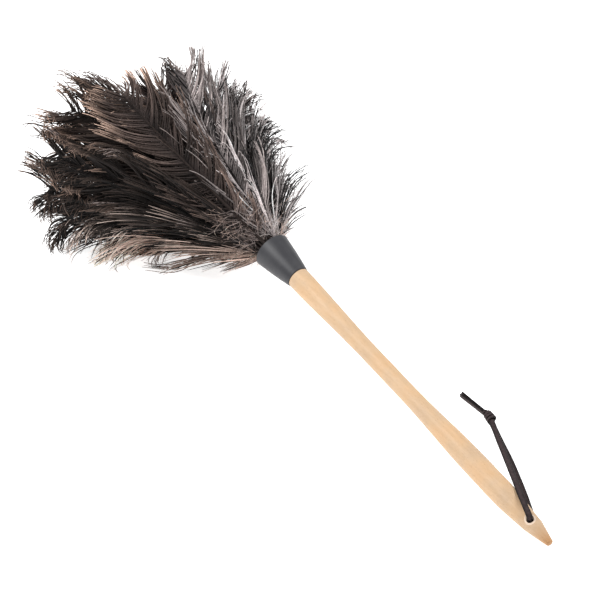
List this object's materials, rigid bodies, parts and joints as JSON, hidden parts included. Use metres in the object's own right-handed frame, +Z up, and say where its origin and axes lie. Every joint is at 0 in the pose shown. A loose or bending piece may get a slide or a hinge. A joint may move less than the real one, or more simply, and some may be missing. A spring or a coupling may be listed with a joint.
{
  "type": "feather duster",
  "caption": "Feather duster: turned wooden handle with a pointed nose, dark conical ferrule, a wide head of soft plumes bound to the handle, and a knotted leather hanging lace.",
  "frame": {"origin": "on the surface the duster lies on, under the middle of its bounding box without the lace", "axes": "+X runs from the plumes toward the nose of the handle, +Z is up, +Y completes a right-handed set"},
  "size_m": [0.5983, 0.2302, 0.1806],
  "materials": {
    "beech": "satin",
    "ferrule": "matte",
    "wire": "satin",
    "leather_lace": "satin",
    "plume_core": "matte",
    "plume_inner": "matte",
    "plume_outer": "matte"
  },
  "bodies": {
    "duster": {"handle": "beech", "ferrule": "ferrule", "binding_wire": "wire", "core_plume_1": "plume_core", "core_plume_2": "plume_core", "core_plume_3": "plume_core", "core_plume_4": "plume_core", "core_plume_5": "plume_core", "inner_plume_1": "plume_inner", "inner_plume_2": "plume_inner", "inner_plume_3": "plume_inner", "inner_plume_4": "plume_inner", "inner_plume_5": "plume_inner", "inner_plume_6": "plume_inner", "inner_plume_7": "plume_inner", "inner_plume_8": "plume_inner", "inner_plume_9": "plume_inner", "inner_plume_10": "plume_inner", "inner_plume_11": "plume_inner", "inner_plume_12": "plume_inner", "inner_plume_13": "plume_inner", "outer_plume_1": "plume_outer", "outer_plume_2": "plume_outer", "outer_plume_3": "plume_outer", "outer_plume_4": "plume_outer", "outer_plume_5": "plume_outer", "outer_plume_6": "plume_outer", "outer_plume_7": "plume_outer", "outer_plume_8": "plume_outer", "outer_plume_9": "plume_outer", "outer_plume_10": "plume_outer", "outer_plume_11": "plume_outer", "outer_plume_12": "plume_outer", "outer_plume_13": "plume_outer", "outer_plume_14": "plume_outer", "outer_plume_15": "plume_outer", "outer_plume_16": "plume_outer", "outer_plume_17": "plume_outer", "outer_plume_18": "plume_outer", "outer_plume_19": "plume_outer", "outer_plume_20": "plume_outer"},
    "lace": {"lace_upper_strand": "leather_lace", "lace_lower_strand": "leather_lace", "lace_knot": "leather_lace", "lace_tails": "leather_lace"}
  },
  "joints": [
    {"name": "lace_swing", "type": "hinge", "parent": "duster", "child": "lace", "pos_m": [0.27469, 0, 0.00822], "axis": [-0.1406, 0.309, -0.9406], "range_deg": [0, 85]}
  ]
}
